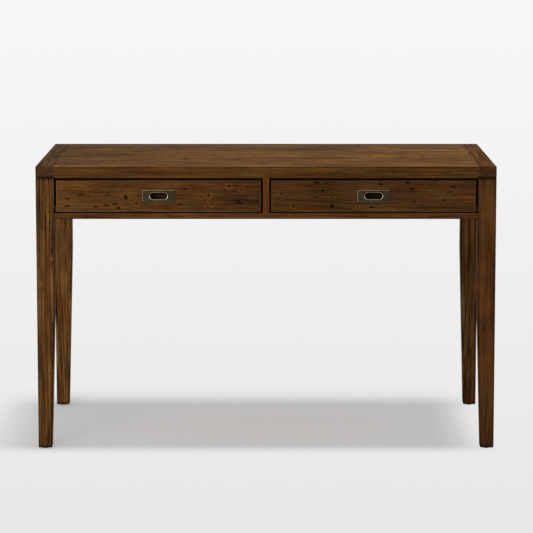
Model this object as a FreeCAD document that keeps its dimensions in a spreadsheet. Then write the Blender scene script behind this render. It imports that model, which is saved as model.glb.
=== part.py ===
import FreeCAD, Part
import os
from types import SimpleNamespace

import Sketcher

# Driving dimensions of the desk, in millimetres
SIZES = {
    # whole desk
    "desk_width": 1220,
    "desk_depth": 610,
    "desk_height": 762,
    # desktop: planks tongued into an end board at each side
    "top_thickness": 32,
    "tongue_thickness": 10,
    "tongue_length": 14,
    "tongue_inset": 30,
    "edge_round": 2.5,
    "plank_bevel": 0.8,
    # legs, tapered on their two inner faces
    "leg_side": 49,
    "foot_side": 36,
    "taper_drop": 160,
    "leg_round": 3,
    "foot_round": 2.8,
    # nail-on glides under the feet
    "glide_thickness": 3,
    "glide_radius": 9,
    "glide_bevel": 0.8,
    "pin_radius": 1.5,
    "pin_length": 16,
    # aprons
    "apron_height": 109,
    "apron_thickness": 20,
    "apron_setback": 4,
    "tenon_cheek": 5,
    "tenon_shoulder": 12,
    "tenon_spare": 8,
    # front rails, stile and partition
    "front_setback": 1.5,
    "rail_height": 16,
    "rail_depth": 40,
    "rail_shoulder": 4,
    "upper_rail_height": 14,
    "stile_width": 17,
    "stile_tenon_cheek": 4,
    "stile_tenon_length": 9,
    "housing_depth": 8,
    "runner_width": 64,
    "runner_tenon_cheek": 4,
    "runner_tenon_length": 9,
    "rail_round": 1.2,
    # drawer faces
    "face_thickness": 20,
    "face_round": 1.5,
    "face_back_gap": 1,
    "top_gap": 5,
    "bottom_gap": 3,
    "side_gap": 4.5,
    # drawer boxes
    "box_wall": 12,
    "box_lift": 8,
    "box_top_gap": 9,
    "box_back_gap": 64,
    "tail_wide": 13,
    "tail_narrow": 9,
    "bottom_thickness": 6,
    "groove_rise": 8,
    "groove_bite": 5,
    # telescopic slides
    "slide_width": 12.7,
    "slide_height": 45,
    "slide_sheet": 1.2,
    "slide_front_gap": 2,
    "slide_lip": 3,
    "running_gap": 0.3,
    "web_gap": 2,
    "desk_member_reach": 9,
    "hat_height": 25,
    "packer_margin": 3,
    # flush pulls
    "plate_length": 86,
    "plate_height": 32,
    "plate_thickness": 3,
    "plate_proud": 1,
    "plate_corner": 1.6,
    "border_width": 2.4,
    "field_sink": 0.9,
    "bead_width": 2.6,
    "rim_round": 0.4,
    "mouth_length": 46,
    "mouth_height": 17,
    "cup_margin": 4,
    "cup_depth": 12,
    "cup_wall": 1.2,
    "cup_round": 4,
    "inlay_gap": 0.2,
    # buttons that hold the top
    "button_length": 40,
    "button_reach": 26,
    "button_height": 15,
    "button_tongue": 8,
    "button_tongue_thickness": 6,
    # countersunk screws: shank radius, head radius, head height and bite in the far piece
    "top_screw_radius": 2,
    "top_screw_head": 3.8,
    "top_screw_sink": 2,
    "top_screw_bite": 9,
    "face_screw_radius": 1.8,
    "face_screw_head": 3.4,
    "face_screw_sink": 1.8,
    "face_screw_bite": 11,
    "slide_screw_radius": 1.6,
    "slide_screw_head": 3,
    "slide_screw_bite": 6.5,
    "pull_screw_radius": 1.1,
    "pull_screw_head": 2.2,
    "pull_screw_sink": 1.2,
    "pull_screw_bite": 8,
    "pull_screw_inset": 8,
    "pull_screw_slot": 0.6,
    # clearances shared by all pieces
    "seat_gap": 1,
    "screw_gap": 0.05,
}

# Counts, and places given as shares of the piece that carries them
PLANKS = 5
TAILS = 3
BACK_BUTTON_SHARES = (-0.27, 0.27)
SIDE_BUTTON_SHARES = (-0.2, 0.2)
RAIL_SCREW_SHARES = (-0.4, -0.14, 0.14, 0.4)
FACE_SCREW_SHARES = (-0.4, 0.4)
FACE_SCREW_RISE_SHARES = (0.36, 0.76)
SLIDE_SCREW_SHARES = (0.2, 0.84)

SIDES = ("left", "right")
ENDS = ("front", "rear")

UP = FreeCAD.Rotation()
TO_RIGHT = FreeCAD.Rotation(FreeCAD.Vector(0, 1, 0), 90)
TO_LEFT = FreeCAD.Rotation(FreeCAD.Vector(0, 1, 0), -90)
TO_REAR = FreeCAD.Rotation(FreeCAD.Vector(1, 0, 0), -90)
TO_FRONT = FreeCAD.Rotation(FreeCAD.Vector(1, 0, 0), 90)
HALF_TURN = FreeCAD.Rotation(FreeCAD.Vector(0, 0, 1), 180)


class Size:
    """An expression on the sheet's cells, written with ordinary arithmetic."""

    def __init__(self, text):
        self.text = text

    def __add__(self, other):
        return Size(f"({self.text} + {text_of(other)})")

    def __radd__(self, other):
        return Size(f"({text_of(other)} + {self.text})")

    def __sub__(self, other):
        return Size(f"({self.text} - {text_of(other)})")

    def __rsub__(self, other):
        return Size(f"({text_of(other)} - {self.text})")

    def __mul__(self, other):
        return Size(f"({self.text} * {text_of(other)})")

    def __rmul__(self, other):
        return Size(f"({text_of(other)} * {self.text})")

    def __truediv__(self, other):
        return Size(f"({self.text} / {text_of(other)})")

    def __neg__(self):
        return Size(f"(0 - {self.text})")


def text_of(size):
    return size.text if isinstance(size, Size) else str(size)


doc = FreeCAD.newDocument("campaign_desk")
sheet = doc.addObject("Spreadsheet::Sheet", "dims")
for row, (alias, number) in enumerate(SIZES.items(), start=1):
    sheet.set(f"A{row}", alias)
    sheet.set(f"B{row}", str(number))
    sheet.setAlias(f"B{row}", alias)
doc.recompute()
dims = SimpleNamespace(**{alias: Size(f"dims.{alias}") for alias in SIZES})
nodes = []


def value(size):
    return float(sheet.evalExpression(text_of(size)))


def node(piece):
    nodes.append(piece)
    return piece


def place(piece, at, turn=UP):
    piece.Placement = FreeCAD.Placement(FreeCAD.Vector(), turn)
    for axis, size in zip("xyz", at):
        piece.setExpression(f"Placement.Base.{axis}", text_of(size))
    return piece


def box(name, size, at):
    block = doc.addObject("Part::Box", name)
    for prop, length in zip(("Length", "Width", "Height"), size):
        block.setExpression(prop, text_of(length))
    return place(block, at)


def rod(name, radius, length, at, turn):
    bar = doc.addObject("Part::Cylinder", name)
    bar.setExpression("Radius", text_of(radius))
    bar.setExpression("Height", text_of(length))
    return place(bar, at, turn)


def fuse(name, pieces):
    whole = doc.addObject("Part::MultiFuse", name)
    whole.Shapes = pieces
    whole.Refine = True
    return whole


def cut(name, base, tools):
    rest = doc.addObject("Part::Cut", name)
    rest.Base = base
    rest.Tool = tools[0] if len(tools) == 1 else fuse(f"{name}_cuts", tools)
    return rest


def group(name, pieces):
    several = doc.addObject("Part::Compound", name)
    several.Links = pieces
    return several


def ease(kind, name, base, size, chosen):
    doc.recompute()
    eased = doc.addObject(kind, name)
    eased.Base = base
    width = value(size)
    edges = enumerate(base.Shape.Edges, start=1)
    eased.Edges = [(index, width, width) for index, edge in edges if chosen(edge)]
    return eased


def lies_on(edge, axis, size):
    low = getattr(edge.BoundBox, f"{axis}Min")
    high = getattr(edge.BoundBox, f"{axis}Max")
    place_wanted = value(size)
    return max(abs(low - place_wanted), abs(high - place_wanted)) < 1e-4


def runs_along(edge, axis):
    lengths = {name: getattr(edge.BoundBox, f"{name}Length") for name in "XYZ"}
    return max(lengths, key=lengths.get) == axis


def outline(body, role, points, lift=0):
    sketch = body.newObject("Sketcher::SketchObject", f"{body.Name}_outline")
    plane = [feature for feature in body.Origin.OriginFeatures if feature.Role == role][0]
    sketch.AttachmentSupport = [(plane, "")]
    sketch.MapMode = "FlatFace"
    sketch.setExpression("AttachmentOffset.Base.z", text_of(lift))
    corners = [FreeCAD.Vector(value(across), value(up), 0) for across, up in points]
    for here, there in zip(corners, corners[1:] + corners[:1]):
        sketch.addGeometry(Part.LineSegment(here, there))
    for edge in range(len(corners)):
        following = (edge + 1) % len(corners)
        sketch.addConstraint(Sketcher.Constraint("Coincident", edge, 2, following, 1))
    for edge, (across, up) in enumerate(points):
        for kind, axis, size in (("DistanceX", -2, across), ("DistanceY", -1, up)):
            if size == 0:
                sketch.addConstraint(Sketcher.Constraint("PointOnObject", edge, 1, axis))
            else:
                rule = Sketcher.Constraint(kind, -1, 1, edge, 1, value(size))
                index = sketch.addConstraint(rule)
                sketch.setExpression(f"Constraints[{index}]", text_of(size))
    return sketch


def turned(name, points, at, turn=UP):
    body = doc.addObject("PartDesign::Body", name)
    profile = outline(body, "XZ_Plane", points)
    spun = body.newObject("PartDesign::Revolution", f"{name}_turned")
    spun.Profile = profile
    spun.ReferenceAxis = (profile, ["V_Axis"])
    spun.Angle = 360
    return place(body, at, turn)


def extruded(name, points, length, at, turn):
    body = doc.addObject("PartDesign::Body", name)
    profile = outline(body, "XZ_Plane", points)
    pad = body.newObject("PartDesign::Pad", f"{name}_pad")
    pad.Profile = profile
    pad.setExpression("Length", text_of(length))
    pad.Reversed = True
    return place(body, at, turn)


def screw(name, radius, head, sink, length, at, turn, grow=0):
    shank = radius + grow
    points = [(0, 0), (head + grow, 0), (shank, sink), (shank, length), (0, length)]
    return turned(name, points, at, turn)


def from_edge(edge, inset, thickness):
    return {
        "left": inset - dims.desk_width / 2,
        "right": dims.desk_width / 2 - inset - thickness,
        "front": inset - dims.desk_depth / 2,
        "rear": dims.desk_depth / 2 - inset - thickness,
    }[edge]


# Heights and places that many pieces share
under_top = dims.desk_height - dims.top_thickness
apron_foot = under_top - dims.apron_height
rail_top = apron_foot + dims.rail_height
span_wide = dims.desk_width - 2 * dims.leg_side
span_deep = dims.desk_depth - 2 * dims.leg_side
leg_inside = from_edge("left", dims.leg_side, 0)
leg_behind = from_edge("front", dims.leg_side, 0)
apron_inset = dims.apron_setback + dims.apron_thickness
apron_inside = from_edge("rear", apron_inset, 0)
tenon_length = dims.leg_side - apron_inset + dims.tenon_cheek - dims.tenon_spare
face_front = from_edge("front", dims.front_setback, 0)
face_back = face_front + dims.face_thickness
upper_rail_front = face_back + dims.face_back_gap
upper_rail_depth = leg_behind - upper_rail_front
upper_rail_foot = under_top - dims.upper_rail_height
opening_width = (span_wide - dims.stile_width) / 2
opening_start = {"left": leg_inside, "right": dims.stile_width / 2}
face_height = dims.apron_height - dims.rail_height - dims.bottom_gap - dims.top_gap
box_foot = rail_top + dims.box_lift
box_height = upper_rail_foot - dims.box_top_gap - box_foot
box_depth = apron_inside - face_back - dims.box_back_gap
box_width = opening_width - 2 * dims.slide_width
slide_start = face_back + dims.slide_front_gap
slide_length = box_depth - dims.slide_front_gap
slide_foot = box_foot + (box_height - dims.slide_height) / 2
slide_middle = box_foot + box_height / 2


# Tenoned boards: the board, its tenons and the long block that leaves their mortises
def tenoned(name, along, size, at, cheeks):
    lengths = dict(zip("XYZ", size))
    starts = dict(zip("XYZ", at))
    reach = {axis: -cheek for axis, cheek in cheeks.items()}

    def grown(label, reach_along):
        wide = {**reach, along: reach_along}
        grown_size = [lengths[axis] + 2 * wide[axis] for axis in "XYZ"]
        grown_at = [starts[axis] - wide[axis] for axis in "XYZ"]
        return box(label, grown_size, grown_at)

    board = box(f"{name}_board", size, at)
    tenons = grown(f"{name}_tenons", tenon_length)
    mortises = grown(f"{name}_mortises", tenon_length + dims.seat_gap)
    return fuse(f"{name}_blank", [board, tenons]), mortises


apron_cheeks = {"Y": dims.tenon_cheek, "Z": dims.tenon_shoulder}
back_apron, back_mortises = tenoned(
    "back_apron", "X",
    (span_wide, dims.apron_thickness, dims.apron_height),
    (leg_inside, apron_inside, apron_foot), apron_cheeks)

side_aprons = {}
side_mortises = {}
for side in SIDES:
    side_aprons[side], side_mortises[side] = tenoned(
        f"side_apron_{side}", "Y",
        (dims.apron_thickness, span_deep, dims.apron_height),
        (from_edge(side, dims.apron_setback, dims.apron_thickness), leg_behind, apron_foot),
        {"X": dims.tenon_cheek, "Z": dims.tenon_shoulder})

rail_cheeks = {"Y": dims.rail_shoulder, "Z": dims.rail_shoulder}
lower_rail, lower_mortises = tenoned(
    "front_rail", "X",
    (span_wide, dims.rail_depth, dims.rail_height),
    (leg_inside, face_front, apron_foot), rail_cheeks)
upper_rail, upper_mortises = tenoned(
    "hidden_rail", "X",
    (span_wide, upper_rail_depth, dims.upper_rail_height),
    (leg_inside, upper_rail_front, upper_rail_foot), rail_cheeks)


# Legs with their mortises and glides
def make_leg(end, side):
    name = f"leg_{end}_{side}"
    taper = dims.leg_side - dims.foot_side
    shift_x = taper if side == "right" else 0
    shift_y = taper if end == "rear" else 0
    body = doc.addObject("PartDesign::Body", f"{name}_blank")

    def section(start_x, start_y, width, lift):
        points = [(start_x, start_y), (start_x + width, start_y),
                  (start_x + width, start_y + width), (start_x, start_y + width)]
        return outline(body, "XY_Plane", points, lift)

    top = section(0, 0, dims.leg_side, under_top)
    shoulder = section(0, 0, dims.leg_side, apron_foot - dims.taper_drop)
    foot = section(shift_x, shift_y, dims.foot_side, dims.glide_thickness)
    loft = body.newObject("PartDesign::AdditiveLoft", f"{name}_loft")
    loft.Profile = top
    loft.Sections = [shoulder, foot]
    loft.Ruled = True
    place(body, (from_edge(side, 0, dims.leg_side), from_edge(end, 0, dims.leg_side), 0))
    upright = ease("Part::Fillet", f"{name}_corners", body, dims.leg_round,
                   lambda edge: runs_along(edge, "Z"))
    footed = ease("Part::Fillet", f"{name}_foot", upright, dims.foot_round,
                  lambda edge: lies_on(edge, "Z", dims.glide_thickness))
    centre = (from_edge(side, dims.foot_side / 2, 0), from_edge(end, dims.foot_side / 2, 0))
    pin_hole = rod(f"{name}_pin_hole", dims.pin_radius + dims.screw_gap,
                   dims.pin_length + dims.seat_gap, (*centre, dims.glide_thickness), UP)
    rails = [lower_mortises, upper_mortises] if end == "front" else [back_mortises]
    node(cut(name, footed, [*rails, side_mortises[side], pin_hole]))
    pin_top = dims.glide_thickness + dims.pin_length
    return turned(f"glide_{end}_{side}", [
        (0, 0),
        (dims.glide_radius - dims.glide_bevel, 0),
        (dims.glide_radius, dims.glide_bevel),
        (dims.glide_radius, dims.glide_thickness),
        (dims.pin_radius, dims.glide_thickness),
        (dims.pin_radius, pin_top),
        (0, pin_top)], (*centre, 0))


glides = [make_leg(end, side) for end in ENDS for side in SIDES]
node(group("foot_glides", glides))

# Buttons that hold the top to the aprons, with their screws
buttons = []
top_screws = []
button_slots = {"left": [], "right": [], "rear": []}
screw_holes = {"left": [], "right": [], "front": [], "rear": []}


def top_screw(name, board, length, at):
    sizes = (dims.top_screw_radius, dims.top_screw_head, dims.top_screw_sink)
    top_screws.append(screw(name, *sizes, length, at, UP))
    hole = screw(f"{name}_hole", *sizes, length + dims.screw_gap, at, UP, dims.screw_gap)
    screw_holes[board].append(hole)
    return hole


def make_button(name, edge, middle):
    foot = under_top - dims.button_height
    block_inset = apron_inset
    tongue_inset = apron_inset - dims.button_tongue
    slot_inset = tongue_inset - dims.seat_gap
    slot_reach = dims.button_tongue + dims.seat_gap
    start = middle - dims.button_length / 2

    def block(label, inset, reach, height):
        across = from_edge(edge, inset, reach)
        if edge == "rear":
            return box(label, (dims.button_length, reach, height), (start, across, foot))
        return box(label, (reach, dims.button_length, height), (across, start, foot))

    body = block(f"{name}_block", block_inset, dims.button_reach, dims.button_height)
    tongue = block(f"{name}_tongue", tongue_inset, dims.button_tongue, dims.button_tongue_thickness)
    slot = block(f"{name}_slot", slot_inset, slot_reach, dims.button_tongue_thickness)
    button_slots[edge].append(slot)
    centre = from_edge(edge, block_inset + dims.button_reach / 2, 0)
    at = (middle, centre, foot) if edge == "rear" else (centre, middle, foot)
    hole = top_screw(f"{name}_screw", edge, dims.button_height + dims.top_screw_bite, at)
    buttons.append(cut(name, fuse(f"{name}_blank", [body, tongue]), [hole]))


for index, share in enumerate(BACK_BUTTON_SHARES, start=1):
    make_button(f"back_button_{index}", "rear", dims.desk_width * share)
for side in SIDES:
    for index, share in enumerate(SIDE_BUTTON_SHARES, start=1):
        make_button(f"{side}_button_{index}", side, dims.desk_depth * share)

rail_screw_holes = []
for index, share in enumerate(RAIL_SCREW_SHARES, start=1):
    at = (span_wide * share, upper_rail_front + upper_rail_depth / 2, upper_rail_foot)
    length = dims.upper_rail_height + dims.top_screw_bite
    rail_screw_holes.append(top_screw(f"rail_screw_{index}", "front", length, at))
node(cut("hidden_rail", upper_rail, rail_screw_holes))
node(group("top_buttons", buttons))
node(group("top_screws", top_screws))


# Desktop: planks between two end boards as wide as the legs
plank_width = dims.desk_depth / PLANKS
tongue_foot = under_top + (dims.top_thickness - dims.tongue_thickness) / 2


def make_plank(number):
    name = f"top_plank_{number}"
    first = number == 1
    last = number == PLANKS
    start = from_edge("front", 0, 0) + plank_width * (number - 1)
    finish = start + plank_width
    board = box(f"{name}_board", (span_wide, plank_width, dims.top_thickness),
                (leg_inside, start, under_top))

    def outer(edge):
        at_front = first and lies_on(edge, "Y", start)
        at_rear = last and lies_on(edge, "Y", finish)
        return runs_along(edge, "X") and (at_front or at_rear)

    def joint(edge):
        at_front = not first and lies_on(edge, "Y", start)
        at_rear = not last and lies_on(edge, "Y", finish)
        return lies_on(edge, "Z", dims.desk_height) and runs_along(edge, "X") and (at_front or at_rear)

    if first or last:
        board = ease("Part::Fillet", f"{name}_rounded", board, dims.edge_round, outer)
    board = ease("Part::Chamfer", f"{name}_eased", board, dims.plank_bevel, joint)
    tongue_start = start + dims.tongue_inset if first else start
    tongue_finish = finish - dims.tongue_inset if last else finish
    tongue_span = span_wide + 2 * dims.tongue_length
    tongue = box(f"{name}_tongues", (tongue_span, tongue_finish - tongue_start, dims.tongue_thickness),
                 (leg_inside - dims.tongue_length, tongue_start, tongue_foot))
    holes = {1: screw_holes["front"], PLANKS: screw_holes["rear"]}.get(number)
    whole = fuse(f"{name}_blank" if holes else name, [board, tongue])
    node(cut(name, whole, holes) if holes else whole)


for number in range(1, PLANKS + 1):
    make_plank(number)


def make_end_board(side):
    name = f"top_end_{side}"
    outside = from_edge(side, 0, 0)
    board = box(f"{name}_board", (dims.leg_side, dims.desk_depth, dims.top_thickness),
                (from_edge(side, 0, dims.leg_side), from_edge("front", 0, 0), under_top))

    def outer(edge):
        at_end = any(lies_on(edge, "Y", from_edge(end, 0, 0)) for end in ENDS)
        return lies_on(edge, "X", outside) or (at_end and runs_along(edge, "X"))

    rounded = ease("Part::Fillet", f"{name}_rounded", board, dims.edge_round, outer)
    groove_reach = dims.tongue_length + dims.seat_gap
    groove = box(f"{name}_groove",
                 (groove_reach, dims.desk_depth - 2 * dims.tongue_inset, dims.tongue_thickness),
                 (from_edge(side, dims.leg_side - groove_reach, groove_reach),
                  from_edge("front", dims.tongue_inset, 0), tongue_foot))
    node(cut(name, rounded, [groove, *screw_holes[side]]))


for side in SIDES:
    make_end_board(side)

# Stile between the drawers, tenoned into the lower rail
stile_left = -dims.stile_width / 2
stile_depth = upper_rail_front - face_front
stile_tenon_size = (dims.stile_width - 2 * dims.stile_tenon_cheek,
                    stile_depth - 2 * dims.stile_tenon_cheek)
stile_tenon_at = (stile_left + dims.stile_tenon_cheek, face_front + dims.stile_tenon_cheek)
stile_board = box("stile_board", (dims.stile_width, stile_depth, under_top - rail_top),
                  (stile_left, face_front, rail_top))
stile_eased = ease("Part::Fillet", "stile_eased", stile_board, dims.rail_round,
                   lambda edge: lies_on(edge, "Y", face_front) and runs_along(edge, "Z"))
stile_tenon = box("stile_tenon", (*stile_tenon_size, dims.stile_tenon_length),
                  (*stile_tenon_at, rail_top - dims.stile_tenon_length))
mortise_depth = dims.stile_tenon_length + dims.seat_gap
stile_mortise = box("stile_mortise", (*stile_tenon_size, mortise_depth),
                    (*stile_tenon_at, rail_top - mortise_depth))
node(fuse("drawer_stile", [stile_eased, stile_tenon]))

# Runner under the partition, tenoned into the lower rail and housed in the back apron
runner_left = -dims.runner_width / 2
runner_start = face_front + dims.rail_depth
runner_board = box("runner_board",
                   (dims.runner_width, apron_inside + dims.housing_depth - runner_start, dims.rail_height),
                   (runner_left, runner_start, apron_foot))
runner_tenon_width = dims.runner_width - 2 * dims.runner_tenon_cheek
runner_tenon_height = dims.rail_height - 2 * dims.runner_tenon_cheek


def runner_tongue(name, reach):
    return box(name, (runner_tenon_width, reach, runner_tenon_height),
               (runner_left + dims.runner_tenon_cheek, runner_start - reach,
                apron_foot + dims.runner_tenon_cheek))


runner_tenon = runner_tongue("runner_tenon", dims.runner_tenon_length)
runner_mortise = runner_tongue("runner_mortise", dims.runner_tenon_length + dims.seat_gap)
runner_housing = box("runner_housing",
                     (dims.runner_width, dims.housing_depth + dims.seat_gap, dims.rail_height),
                     (runner_left, apron_inside, apron_foot))
node(fuse("centre_runner", [runner_board, runner_tenon]))
rail_eased = ease("Part::Fillet", "front_rail_eased", lower_rail, dims.rail_round,
                  lambda edge: lies_on(edge, "Y", face_front) and runs_along(edge, "X"))
node(cut("front_rail", rail_eased, [stile_mortise, runner_mortise]))

# Partition behind the stile, housed in the back apron
partition_size = (dims.stile_width, apron_inside + dims.housing_depth - upper_rail_front,
                  upper_rail_foot - rail_top)
partition = box("partition_board", partition_size, (stile_left, upper_rail_front, rail_top))
housing = box("partition_housing",
              (dims.stile_width, dims.housing_depth + dims.seat_gap, upper_rail_foot - rail_top),
              (stile_left, apron_inside, rail_top))
node(cut("back_apron", back_apron, [housing, runner_housing, *button_slots["rear"]]))
for side in SIDES:
    node(cut(f"side_apron_{side}", side_aprons[side], button_slots[side]))

# Packers that bring the outer slides in line with the legs
packer_thickness = dims.leg_side - apron_inset
packer_height = dims.slide_height + 2 * dims.packer_margin
packers = {}
for side in SIDES:
    packers[side] = box(f"slide_packer_{side}_board", (packer_thickness, span_deep, packer_height),
                        (from_edge(side, apron_inset, packer_thickness), leg_behind,
                         slide_foot - dims.packer_margin))

# Outlines of the three slide members, across from the desk and up
sheet_metal = dims.slide_sheet
slide_top = dims.slide_height
middle_web = sheet_metal + dims.web_gap
middle_foot = sheet_metal + dims.running_gap
middle_top = slide_top - middle_foot
middle_reach = dims.desk_member_reach - sheet_metal - dims.running_gap
drawer_wing = middle_web + sheet_metal + dims.running_gap
drawer_foot = middle_foot + sheet_metal + dims.running_gap
drawer_top = slide_top - drawer_foot
hat_foot = (slide_top - dims.hat_height) / 2
hat_top = slide_top - hat_foot


def channel(web, foot, top, reach):
    inner_web = web + sheet_metal
    inner_reach = reach - sheet_metal
    inner_foot = foot + sheet_metal
    inner_top = top - sheet_metal
    low_lip = inner_foot + dims.slide_lip
    high_lip = inner_top - dims.slide_lip
    return [
        (web, foot), (reach, foot), (reach, low_lip), (inner_reach, low_lip),
        (inner_reach, inner_foot), (inner_web, inner_foot),
        (inner_web, inner_top), (inner_reach, inner_top),
        (inner_reach, high_lip), (reach, high_lip), (reach, top), (web, top)]


hat = [
    (drawer_wing, drawer_foot), (drawer_wing + sheet_metal, drawer_foot),
    (drawer_wing + sheet_metal, hat_foot), (dims.slide_width, hat_foot),
    (dims.slide_width, hat_top), (drawer_wing + sheet_metal, hat_top),
    (drawer_wing + sheet_metal, drawer_top), (drawer_wing, drawer_top),
    (drawer_wing, hat_top - sheet_metal), (dims.slide_width - sheet_metal, hat_top - sheet_metal),
    (dims.slide_width - sheet_metal, hat_foot + sheet_metal), (drawer_wing, hat_foot + sheet_metal)]
members = {
    "desk": channel(0, 0, slide_top, dims.desk_member_reach),
    "middle": channel(middle_web, middle_foot, middle_top, middle_reach),
    "drawer": hat,
}
desk_slide_screws = []
desk_slide_holes = {"left": [], "middle": [], "right": []}


def slide_screw(name, across, share, turn):
    sizes = (dims.slide_screw_radius, dims.slide_screw_head, sheet_metal)
    length = sheet_metal + dims.slide_screw_bite
    at = (across, slide_start + slide_length * share, slide_middle)
    one = screw(name, *sizes, length, at, turn)
    hole = screw(f"{name}_hole", *sizes, length + dims.screw_gap, at, turn, dims.screw_gap)
    return one, hole


# A slide: the desk member and the drawer member take countersunk screws
def make_slide(drawer, side):
    name = f"{drawer}_slide_{side}"
    wall = opening_start[drawer] if side == "left" else opening_start[drawer] + opening_width
    toward = 1 if side == "left" else -1
    turn = UP if side == "left" else HALF_TURN
    start = slide_start if side == "left" else slide_start + slide_length
    carrier = side if side == drawer else "middle"
    into_desk, into_drawer = (TO_LEFT, TO_RIGHT) if side == "left" else (TO_RIGHT, TO_LEFT)
    holes = {"desk": [], "middle": [], "drawer": []}
    drawer_screws = []
    for index, share in enumerate(SLIDE_SCREW_SHARES, start=1):
        web = wall + sheet_metal * toward
        one, hole = slide_screw(f"{name}_desk_screw_{index}", web, share, into_desk)
        desk_slide_screws.append(one)
        desk_slide_holes[carrier].append(hole)
        holes["desk"].append(hole)
        crown = wall + (dims.slide_width - sheet_metal) * toward
        one, hole = slide_screw(f"{name}_drawer_screw_{index}", crown, share, into_drawer)
        drawer_screws.append(one)
        holes["drawer"].append(hole)
    for member, points in members.items():
        label = f"{name}_{member}_member"
        blank = f"{label}_blank" if holes[member] else label
        bar = extruded(blank, points, slide_length, (wall, start, slide_foot), turn)
        node(cut(label, bar, holes[member]) if holes[member] else bar)
    return drawer_screws, holes["drawer"]


# A stadium: a slot shape with round ends, extruded from front to rear
def stadium(name, length, height, depth, middle, start):
    across, rise = middle
    straight = length - height
    bar = box(f"{name}_bar", (straight, depth, height), (across - straight / 2, start, rise - height / 2))
    ends = []
    for side, sign in zip(SIDES, (-1, 1)):
        centre = (across + straight / 2 * sign, start, rise)
        ends.append(rod(f"{name}_end_{side}", height / 2, depth, centre, TO_REAR))
    return fuse(name, [bar, *ends])


# A flush pull, and the cuts that let it into its drawer face
def make_pull(drawer, middle):
    name = f"{drawer}_pull"
    across, rise = middle
    plate_front = face_front - dims.plate_proud
    plate_back = plate_front + dims.plate_thickness
    field_front = plate_front + dims.field_sink
    field_length = dims.plate_length - 2 * dims.border_width
    field_height = dims.plate_height - 2 * dims.border_width

    def slab(label, length, height, start, depth):
        return box(label, (length, depth, height), (across - length / 2, start, rise - height / 2))

    blank = slab(f"{name}_plate_blank", dims.plate_length, dims.plate_height, plate_front,
                 dims.plate_thickness)
    cornered = ease("Part::Fillet", f"{name}_plate_corners", blank, dims.plate_corner,
                    lambda edge: runs_along(edge, "Y"))
    field = slab(f"{name}_field", field_length, field_height, plate_front, dims.field_sink)
    bead = stadium(f"{name}_bead", dims.mouth_length + 2 * dims.bead_width,
                   dims.mouth_height + 2 * dims.bead_width, dims.field_sink, middle, plate_front)
    mouth = stadium(f"{name}_mouth", dims.mouth_length, dims.mouth_height, dims.plate_thickness,
                    middle, plate_front)
    raised = cut(f"{name}_plate_raised", cornered, [cut(f"{name}_field_ring", field, [bead]), mouth])
    softened = ease("Part::Fillet", f"{name}_plate_softened", raised, dims.rim_round,
                    lambda edge: lies_on(edge, "Y", plate_front))

    screws = []
    holes = []
    sizes = (dims.pull_screw_radius, dims.pull_screw_head, dims.pull_screw_sink)
    length = dims.plate_thickness - dims.field_sink + dims.pull_screw_bite
    reach = dims.plate_length / 2 - dims.pull_screw_inset
    lift = dims.plate_height / 2 - dims.pull_screw_inset
    for index, (sign_x, sign_z) in enumerate(((-1, -1), (-1, 1), (1, -1), (1, 1)), start=1):
        at = (across + reach * sign_x, field_front, rise + lift * sign_z)
        whole = screw(f"{name}_screw_{index}_whole", *sizes, length, at, TO_REAR)
        slot = box(f"{name}_screw_{index}_slot",
                   (2 * dims.pull_screw_head, dims.pull_screw_slot, dims.pull_screw_slot),
                   (at[0] - dims.pull_screw_head, field_front, at[2] - dims.pull_screw_slot / 2))
        screws.append(cut(f"{name}_screw_{index}", whole, [slot]))
        holes.append(screw(f"{name}_hole_{index}", *sizes, length + dims.screw_gap, at, TO_REAR,
                           dims.screw_gap))
    node(cut(f"{name}_plate", softened, holes))
    node(group(f"{name}_screws", screws))

    cup_length = dims.mouth_length + 2 * dims.cup_margin
    cup_height = dims.mouth_height + 2 * dims.cup_margin
    pan_back = plate_back + dims.cup_depth
    hollow_back = pan_back - dims.cup_wall
    pan = stadium(f"{name}_pan", cup_length, cup_height, dims.cup_depth, middle, plate_back)
    pan = ease("Part::Fillet", f"{name}_pan_round", pan, dims.cup_round,
               lambda edge: lies_on(edge, "Y", pan_back))
    hollow = stadium(f"{name}_hollow", cup_length - 2 * dims.cup_wall, cup_height - 2 * dims.cup_wall,
                     dims.cup_depth - dims.cup_wall, middle, plate_back)
    hollow = ease("Part::Fillet", f"{name}_hollow_round", hollow, dims.cup_round - dims.cup_wall,
                  lambda edge: lies_on(edge, "Y", hollow_back))
    node(cut(f"{name}_cup", pan, [hollow]))

    recess = slab(f"{name}_recess", dims.plate_length + 2 * dims.inlay_gap,
                  dims.plate_height + 2 * dims.inlay_gap, face_front, plate_back - face_front)
    pocket = stadium(f"{name}_pocket", cup_length + 2 * dims.inlay_gap, cup_height + 2 * dims.inlay_gap,
                     dims.cup_depth + dims.inlay_gap, middle, plate_back)
    return [recess, pocket, *holes]


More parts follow.
